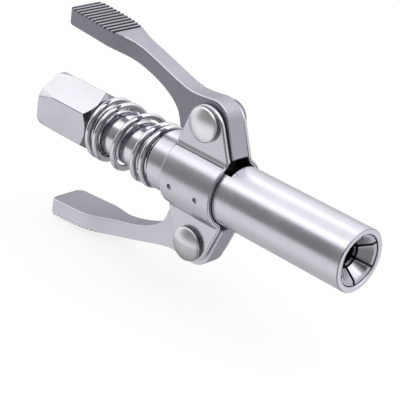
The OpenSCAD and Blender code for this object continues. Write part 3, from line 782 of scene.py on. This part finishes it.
class COUPLER_OT_bracket(bpy.types.Operator):
    """Rounds the edges of the two pressed bracket halves"""

    bl_idname = "coupler.bracket"
    bl_label = "Bracket"

    def execute(self, context):
        s = context.scene.coupler_sizes
        low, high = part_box("bracket_near")
        clasp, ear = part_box("outer_sleeve")[1].z, ear_face()
        skin = clasp + 0.5 * MM
        holes = [pivot("upper"), pivot("lower")]
        dimple_inset, dimple_band, ledge = 2 * MM, 3 * MM, 0.06 * MM
        fillet, foot_low, foot_high = 1.1 * MM, 8.5 * MM, 10.5 * MM

        def in_dimple(p):
            """Whether a point lies on a dimple or its rim."""
            inside = low.x + dimple_inset < p.x < high.x - dimple_inset
            return inside and abs(p.z) < dimple_band and skin < abs(p.y)

        def weigh(edge):
            """Sharp dimples, fine rims of the rivet holes and round outer edges."""
            points = [vert.co for vert in edge.verts]
            if all(map(in_dimple, points)):
                return 0.0
            return 0.25 if any(max(in_plane(p, hole) for p in points) < HOLE_RIM for hole in holes) else 1.0

        def foot(face):
            """The slope of a face in the fillet at the foot of an ear, and 0 elsewhere."""
            inside = ear - 0.05 * MM < abs(face.center.y) < ear + fillet
            level = foot_low < abs(face.center.z) < foot_high
            return abs(face.normal.z) if inside and level and abs(face.normal.x) < 0.2 else 0.0

        def in_shade(face):
            """How dark a face is: bottoms of the dimples, inner edge of the clasp and feet of the ears."""
            dimple = in_dimple(face.center) and abs(face.center.y) < clasp + MM
            inner = abs(face.normal.x) > 0.2 and face.center.yz.length < skin
            return max(0.6 * dimple, 0.9 * inner, 0.85 * climb(foot(face), 0.5, 0.7))

        for side in ("near", "far"):
            piece = dress("bracket_" + side, "pressed_half_" + side, s.edge, weigh, ledge)
            true_round(piece, -low.y)
            mark(piece, "recess", in_shade)
            # Painted highlight: the fillets at the feet of the upper ears are lightened, as by light from above.
            mark(piece, "worn", lambda face: 0.1 < foot(face) < 0.48 and face.center.z > 0)
            put(piece, "sleeve", ["bracket_" + side], "satin_plating", "pressed_plate")
        return {"FINISHED"}


class COUPLER_OT_levers(bpy.types.Operator):
    """Rounds the edges of the two levers"""

    bl_idname = "coupler.levers"
    bl_label = "Levers"

    def execute(self, context):
        s = context.scene.coupler_sizes
        pad_length, pad_rise = 21 * MM, 11.2 * MM
        for side in ("upper", "lower"):
            hole = pivot(side)
            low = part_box("lever_" + side)[0]

            def on_pad(p):
                """Whether a point lies on the outer half of the thumb pad."""
                return p.x < low.x + pad_length and abs(p.z) > abs(hole.z) + pad_rise

            def weigh(edge):
                """Fine grooves of the thumb pad and rim of the rivet hole, and round outer edges."""
                points = [vert.co for vert in edge.verts]
                fine = all(map(on_pad, points)) or all(in_plane(p, hole) < HOLE_RIM for p in points)
                return 0.25 if fine else 1.0

            piece = dress("lever_" + side, "squeeze_lever_" + side, s.cast_edge, weigh)

            def in_groove(face):
                """Whether a face is a wall of a groove."""
                inside = on_pad(face.center) and face.center.x > low.x + MM
                return inside and abs(face.normal.x) > 0.45 and abs(face.normal.y) < 0.5

            def on_edge(face):
                """How light a face is painted, as a painted highlight: the edges along the flanks, apart from the
                thumb pad.
                """
                return 0.85 * (0.3 < abs(face.normal.y) < 0.9 and not on_pad(face.center))

            # Painted light and shade: the flanks take the flank colour, darker on the upper lever and lighter on
            # the lower.
            mark(piece, "flank", lambda face: climb(abs(face.normal.y), 0.4, 0.733))
            mark(piece, "worn", on_edge)
            # Painted shade on the walls of the grooves in the thumb pad.
            mark(piece, "recess", in_groove)
            # Each lever takes its own lit or shaded copy of the plating.
            put(piece, side + "_lever", ["lever_" + side], "lever_plating", side + "_plate")
        return {"FINISHED"}


class COUPLER_OT_rivets(bpy.types.Operator):
    """Turns the two domed rivets"""

    bl_idname = "coupler.rivets"
    bl_label = "Rivets"

    def execute(self, context):
        seat = ear_face()
        shank, rim, rim_edge, dome_edge = 3 * MM, 1.2 * MM, 0.1 * MM, 0.2 * MM
        columns, dome_steps, dome_inset, level_shade = 96, 12, 0.12 * MM, 0.37
        angles = [2 * math.pi * k / columns for k in range(columns)]
        for side in ("upper", "lower"):
            low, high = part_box("rivet_" + side)
            middle = (low + high) / 2
            r, top = (high.x - low.x) / 2, high.y
            dome = top - seat - rim
            bow = (r * r + dome * dome) / (2 * dome)
            reach = math.asin((r - dome_inset) / bow)
            half = [(0.0, shank), (seat, shank), (seat, r - rim_edge), (seat + rim_edge, r),
                    (seat + rim - dome_edge, r)]
            for k in range(dome_steps, -1, -1):
                a = reach * k / dome_steps
                half.append((top - bow + bow * math.cos(a), bow * math.sin(a)))
            profile = [(-y, q) for y, q in reversed(half)] + half[1:]
            rings = [[(middle.x + q * math.cos(a), y, middle.z + q * math.sin(a)) for a in angles]
                     for y, q in profile]
            piece = grid("domed_rivet_" + side, rings, False)
            soften(piece, math.radians(50))

            def in_shade(face):
                """How dark a face is: the side of the head, and the underside of the lower dome."""
                beside = abs(face.normal.y) < 0.3 and abs(face.center.y) > seat
                tilt = face.normal.z if side == "lower" else 1.0
                return max(0.85 * beside, min(level_shade - 0.6 * tilt, level_shade - 4 * tilt), 0.0)

            mark(piece, "recess", in_shade)
            put(piece, "sleeve", ["rivet_" + side], "rivet_plating", "rivet_plate")
        return {"FINISHED"}


class COUPLER_OT_jaws(bpy.types.Operator):
    """Rounds the edges of the six gripping jaws and finishes the pieces between them"""

    bl_idname = "coupler.jaws"
    bl_label = "Jaws and Seal"

    def execute(self, context):
        s = context.scene.coupler_sizes
        throat, seal_edge = 3.7 * MM, 0.15 * MM

        def in_shade(face):
            """How dark a face of a jaw is: the walls of the slits, and the throat behind the funnel."""
            out = Vector((0.0, face.center.y, face.center.z))
            along = abs(face.normal.dot(out.normalized()))
            slit = abs(face.normal.x) < 0.5 and along < 0.6
            return max(1.0 * slit, 0.8 * (out.length < throat))

        for k in range(1, 7):
            piece = dress(f"jaw_{k}", f"gripping_jaw_{k}", s.fine_edge)
            mark(piece, "recess", in_shade)
            put(piece, f"jaw_{k}", [f"jaw_{k}"], "jaw_steel", "jaw_polish")
        piece = dress("face_seal", "rubber_seal", seal_edge)
        put(piece, "seal", ["face_seal"], "seal_rubber", "moulded_rubber")
        for node, material in (("inner_stem", "black_oxide"), ("thrust_collar", "black_oxide"),
                               ("seal_cup", "turned_brass"), ("seal_washer", "soft_copper"),
                               ("jaw_ring", "drawn_wire"), ("check_ball", "rivet_plate")):
            for place in frame["nodes"][node].material_slots:
                place.material = bpy.data.materials[material]
        return {"FINISHED"}


def facing(turn, rise):
    """The direction at a turn from -Y towards +X, and at a rise above the level."""
    return Vector((math.sin(turn) * math.cos(rise), -math.cos(turn) * math.cos(rise), math.sin(rise)))


def set_camera(scene, s):
    """Places the camera as it was fitted to the photo."""
    back = facing(s.azimuth, s.elevation)
    side = Vector((math.cos(s.azimuth), math.sin(s.azimuth), 0.0))
    top = back.cross(side)
    right = math.cos(s.roll) * side + math.sin(s.roll) * top
    up = math.cos(s.roll) * top - math.sin(s.roll) * side
    data = bpy.data.cameras.new("Photo Camera")
    data.lens = s.lens
    data.sensor_width = 36.0
    data.clip_start = 0.01
    data.clip_end = 50.0
    camera = new_object("Photo Camera", data)
    turn = Matrix((right, up, back)).transposed().to_4x4()
    camera.matrix_world = Matrix.Translation(Vector(s.target) + back * s.distance) @ turn
    scene.camera = camera


def floor_paper(shown):
    """A white paper. The camera sees a part of it as plain white, and the rest as it is lit."""
    material = bpy.data.materials.new("floor_paper")
    material.use_nodes = True
    n = Nodes(material.node_tree)
    shader = material.node_tree.nodes["Principled BSDF"]
    shader.inputs["Roughness"].default_value = 0.9
    shader.inputs["Specular IOR Level"].default_value = 0.1
    fibre = n.add("ShaderNodeTexNoise", {"Vector": n.add("ShaderNodeTexCoord").outputs["Object"],
                                         "Scale": 400.0, "Detail": 3.0})
    pale = n.add("ShaderNodeMapRange", {"Value": fibre.outputs["Fac"], "To Min": 0.93, "To Max": 0.95})
    n.link(n.grey(pale.outputs[0]), shader.inputs["Base Color"])
    glow = n.add("ShaderNodeEmission", {"Color": WHITE, "Strength": 1.0})
    seen = n.math("MULTIPLY", n.add("ShaderNodeLightPath").outputs["Is Camera Ray"], shown)
    surface = n.add("ShaderNodeMixShader", {0: seen, 1: shader.outputs[0], 2: glow.outputs[0]})
    n.link(surface.outputs[0], material.node_tree.nodes["Material Output"].inputs["Surface"])
    return material


def lay_floor(s):
    """Lays the paper floor, which the metal doesn't mirror."""
    bm = bmesh.new()
    bmesh.ops.create_circle(bm, cap_ends=True, segments=96, radius=6.0)
    floor = from_bmesh("Floor", bm)
    floor.location.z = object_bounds()[0].z - s.floor_gap
    floor.data.materials.append(floor_paper(s.paper))
    floor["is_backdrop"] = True
    floor.visible_glossy = False


# Brightness of the studio by height, from -1 straight down to 1 straight up
HEIGHTS = ((-1.0, 0.5), (-0.8, 0.7), (-0.6, 0.84), (-0.3, 0.8), (0.0, 0.76), (0.18, 0.83), (0.34, 0.94),
           (0.5, 1.03), (0.64, 1.12), (0.72, 1.08), (0.8, 1.04))
# Patches in the studio: turn, rise, outer and inner radius in degrees, and brightness
PATCHES = ((50, -20, 45, 20, 0.3), (-130, -32, 65, 15, 0.55), (-47, 45, 15, 5, 1.6),
           (-119, 47, 14, 4, 1.55), (62, 24, 28, 14, 0.08), (-70, 12, 25, 10, 0.95))


def light_studio(scene, s):
    """Makes a white world, in which the metal mirrors a studio with a dark panel and patches."""
    world = bpy.data.worlds.new("Studio")
    scene.world = world
    world.use_nodes = True
    n = Nodes(world.node_tree)

    def smooth(value, low, high):
        """From 0 at low to 1 at high, with soft ends."""
        return n.add("ShaderNodeMapRange", {"Value": value, "From Min": low, "From Max": high},
                     interpolation_type="SMOOTHSTEP").outputs[0]

    def towards(way, aim):
        """The cosine of the angle between two directions."""
        return n.add("ShaderNodeVectorMath", {0: way, 1: aim}, operation="DOT_PRODUCT").outputs["Value"]

    way = n.add("ShaderNodeTexCoord").outputs["Generated"]
    rise = n.add("ShaderNodeSeparateXYZ", {0: way}).outputs["Z"]
    height = n.add("ShaderNodeMapRange", {"Value": rise, "From Min": -1.0, "From Max": 1.0})
    ramp = n.add("ShaderNodeValToRGB", {"Fac": height.outputs[0]})
    while len(ramp.color_ramp.elements) < len(HEIGHTS):
        ramp.color_ramp.elements.new(0.5)
    for element, (place, value) in zip(ramp.color_ramp.elements, HEIGHTS):
        element.position = (place + 1) / 2
        element.color = (value, value, value, 1.0)
    level = n.add("ShaderNodeVectorMath", {0: way, 1: (1.0, 1.0, 0.0)}, operation="MULTIPLY")
    level = n.add("ShaderNodeVectorMath", {0: level.outputs[0]}, operation="NORMALIZE")
    ahead = smooth(towards(level.outputs[0], facing(s.panel_turn, 0.0)), -0.15, 0.7)
    panel = n.math("MULTIPLY", ahead,
                   n.math("MULTIPLY", smooth(rise, -0.28, -0.09), smooth(rise, 0.8, 0.45)))
    mirrored = n.mix(panel, ramp.outputs[0], (s.panel_level, s.panel_level, s.panel_level, 1.0))
    for turn, lift, outer, inner, value in PATCHES:
        near = towards(way, facing(math.radians(turn), math.radians(lift)))
        inside = smooth(near, math.cos(math.radians(outer)), math.cos(math.radians(inner)))
        mirrored = n.mix(inside, mirrored, (value, value, value, 1.0))
    sky = world.node_tree.nodes["Background"]
    n.link(mirrored, sky.inputs["Color"])
    path = n.add("ShaderNodeLightPath")
    fill = n.add("ShaderNodeBackground", {"Color": WHITE, "Strength": s.fill})
    seen = n.add("ShaderNodeBackground", {"Color": WHITE, "Strength": 1.0})
    lit = n.add("ShaderNodeMixShader", {
        0: path.outputs["Is Glossy Ray"], 1: fill.outputs[0], 2: sky.outputs[0]})
    pick = n.add("ShaderNodeMixShader", {
        0: path.outputs["Is Camera Ray"], 1: lit.outputs[0], 2: seen.outputs[0]})
    n.link(pick.outputs[0], world.node_tree.nodes["World Output"].inputs["Surface"])


def hang_softbox():
    """Hangs one soft lamp above the nose, towards the far side."""
    place, aim = Vector((0.3, 0.15, 0.6)), Vector((0.06, 0.0, 0.0))
    light = bpy.data.lights.new("Top Softbox", "AREA")
    light.shape = "SQUARE"
    light.size = 0.6
    light.energy = 1.0
    lamp = new_object("Top Softbox", light)
    lamp.location = place
    lamp.rotation_euler = (aim - place).to_track_quat("-Z", "Y").to_euler()


class COUPLER_OT_stage(bpy.types.Operator):
    """Sets up the floor, the light and the camera"""

    bl_idname = "coupler.stage"
    bl_label = "Stage"

    def execute(self, context):
        scene = context.scene
        s = scene.coupler_stage
        scene.view_settings.view_transform = "Standard"
        set_camera(scene, s)
        lay_floor(s)
        light_studio(scene, s)
        hang_softbox()
        return {"FINISHED"}


STEPS = (COUPLER_OT_materials, COUPLER_OT_inlet, COUPLER_OT_springs, COUPLER_OT_sleeve, COUPLER_OT_bracket,
         COUPLER_OT_levers, COUPLER_OT_rivets, COUPLER_OT_jaws, COUPLER_OT_stage)


class COUPLER_PT_panel(bpy.types.Panel):
    """Sizes, finishes and steps of the coupler"""

    bl_idname = "COUPLER_PT_panel"
    bl_label = "Grease Coupler"
    bl_space_type = "VIEW_3D"
    bl_region_type = "UI"
    bl_category = "Coupler"

    def draw(self, context):
        layout = self.layout
        for title, group in (("Sizes", context.scene.coupler_sizes), ("Finish", context.scene.coupler_finish),
                             ("Stage", context.scene.coupler_stage)):
            box = layout.box()
            box.label(text=title)
            for name in group.__annotations__:
                box.prop(group, name)
        for step in STEPS:
            layout.operator(step.bl_idname)


GROUPS = (CouplerSizes, CouplerFinish, CouplerStage)


def register():
    """Adds the classes and the scene's property groups."""
    for kind in GROUPS + STEPS + (COUPLER_PT_panel,):
        bpy.utils.register_class(kind)
    bpy.types.Scene.coupler_sizes = bpy.props.PointerProperty(type=CouplerSizes)
    bpy.types.Scene.coupler_finish = bpy.props.PointerProperty(type=CouplerFinish)
    bpy.types.Scene.coupler_stage = bpy.props.PointerProperty(type=CouplerStage)


def unregister():
    """Takes the property groups and the classes away again."""
    del bpy.types.Scene.coupler_stage
    del bpy.types.Scene.coupler_finish
    del bpy.types.Scene.coupler_sizes
    for kind in reversed(GROUPS + STEPS + (COUPLER_PT_panel,)):
        bpy.utils.unregister_class(kind)


def main():
    """Runs every step in order."""
    register()
    for step in STEPS:
        section, action = step.bl_idname.split(".")
        getattr(getattr(bpy.ops, section), action)()


if __name__ == "__main__":
    main()
